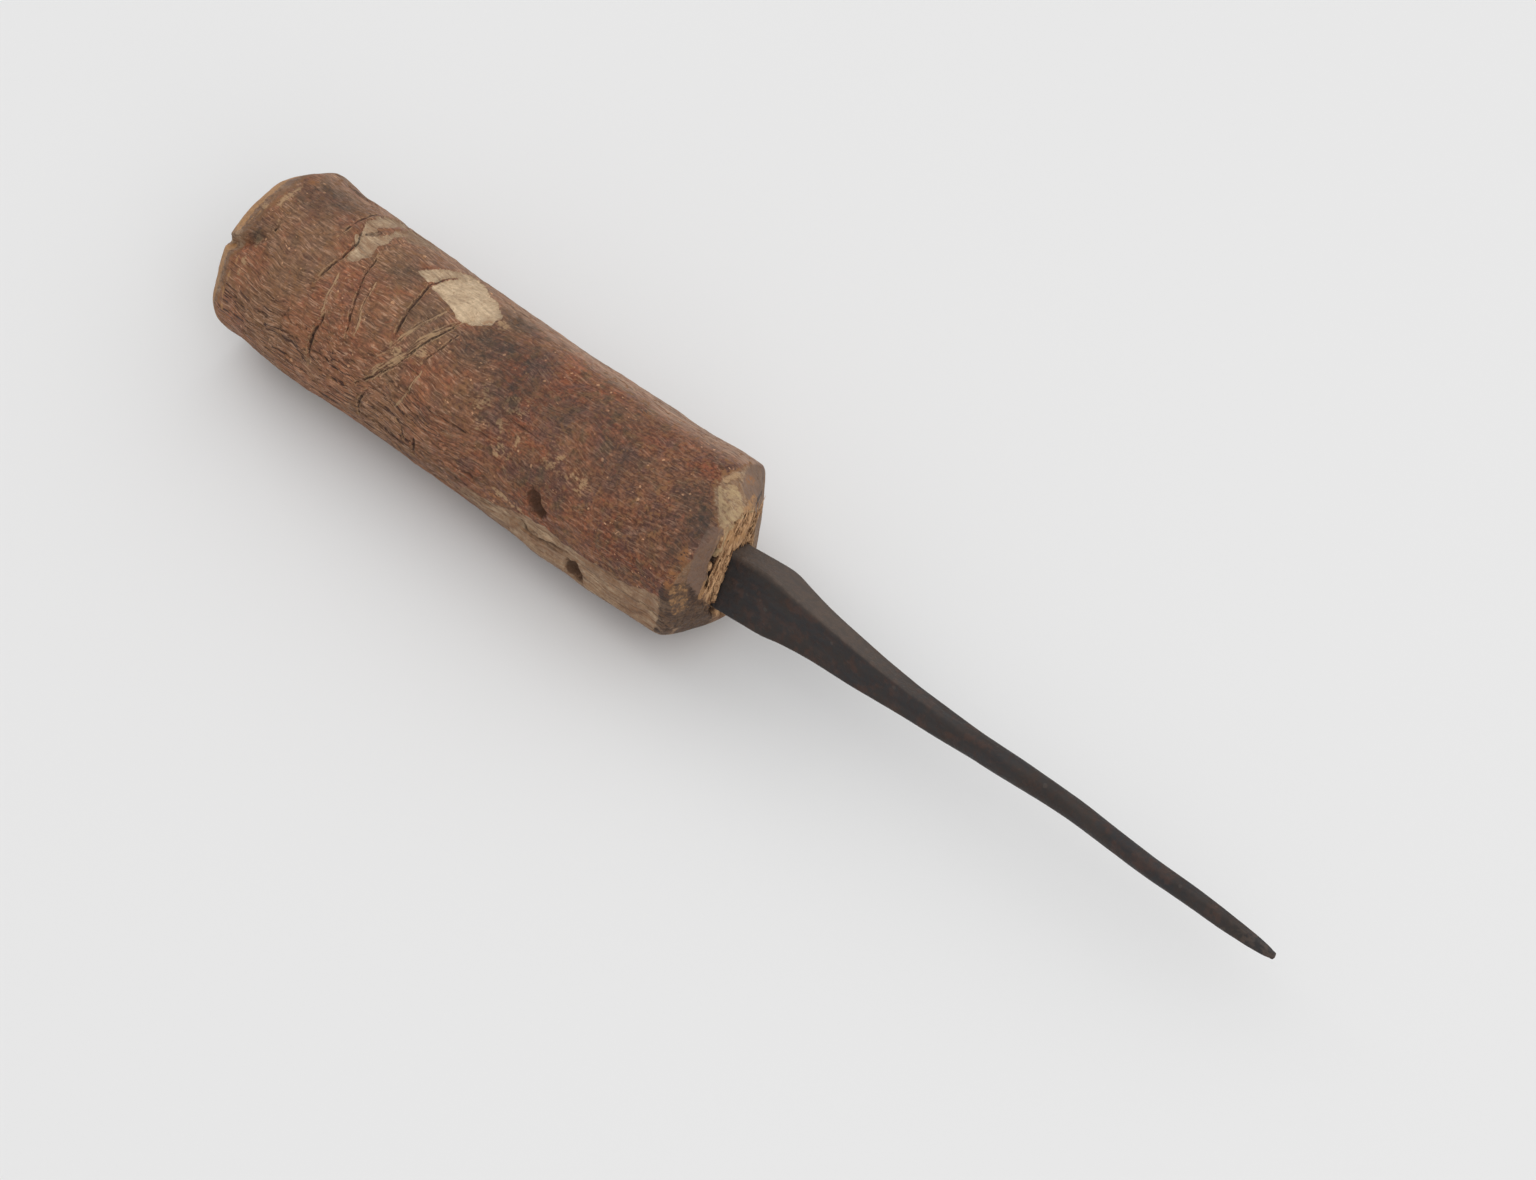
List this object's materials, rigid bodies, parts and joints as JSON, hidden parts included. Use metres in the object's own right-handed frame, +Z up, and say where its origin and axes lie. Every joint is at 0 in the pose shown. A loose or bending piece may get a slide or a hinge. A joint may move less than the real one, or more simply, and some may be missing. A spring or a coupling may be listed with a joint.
{
  "type": "bradawl",
  "caption": "Hand-made bradawl: a thick branch handle with its bark on, whittled at both ends, and a dark forged blade that narrows from a flat root to a round shank with a blunt tip.",
  "frame": {"origin": "middle of the small flat on the handle's underside that the tool lies on, half way along the handle", "axes": "+X along the tool from the butt to the tip, +Z up out of the surface it lies on"},
  "size_m": [0.2012, 0.0318, 0.0302],
  "materials": {
    "bark_wood": "worn reddish-brown bark, dry and matt, with pale bare patches and whittled ends",
    "forged_iron": "dark forge scale with faint rust, rubbed to a low sheen"
  },
  "bodies": {
    "root": {"handle": "bark_wood", "blade": "forged_iron"}
  },
  "joints": []
}
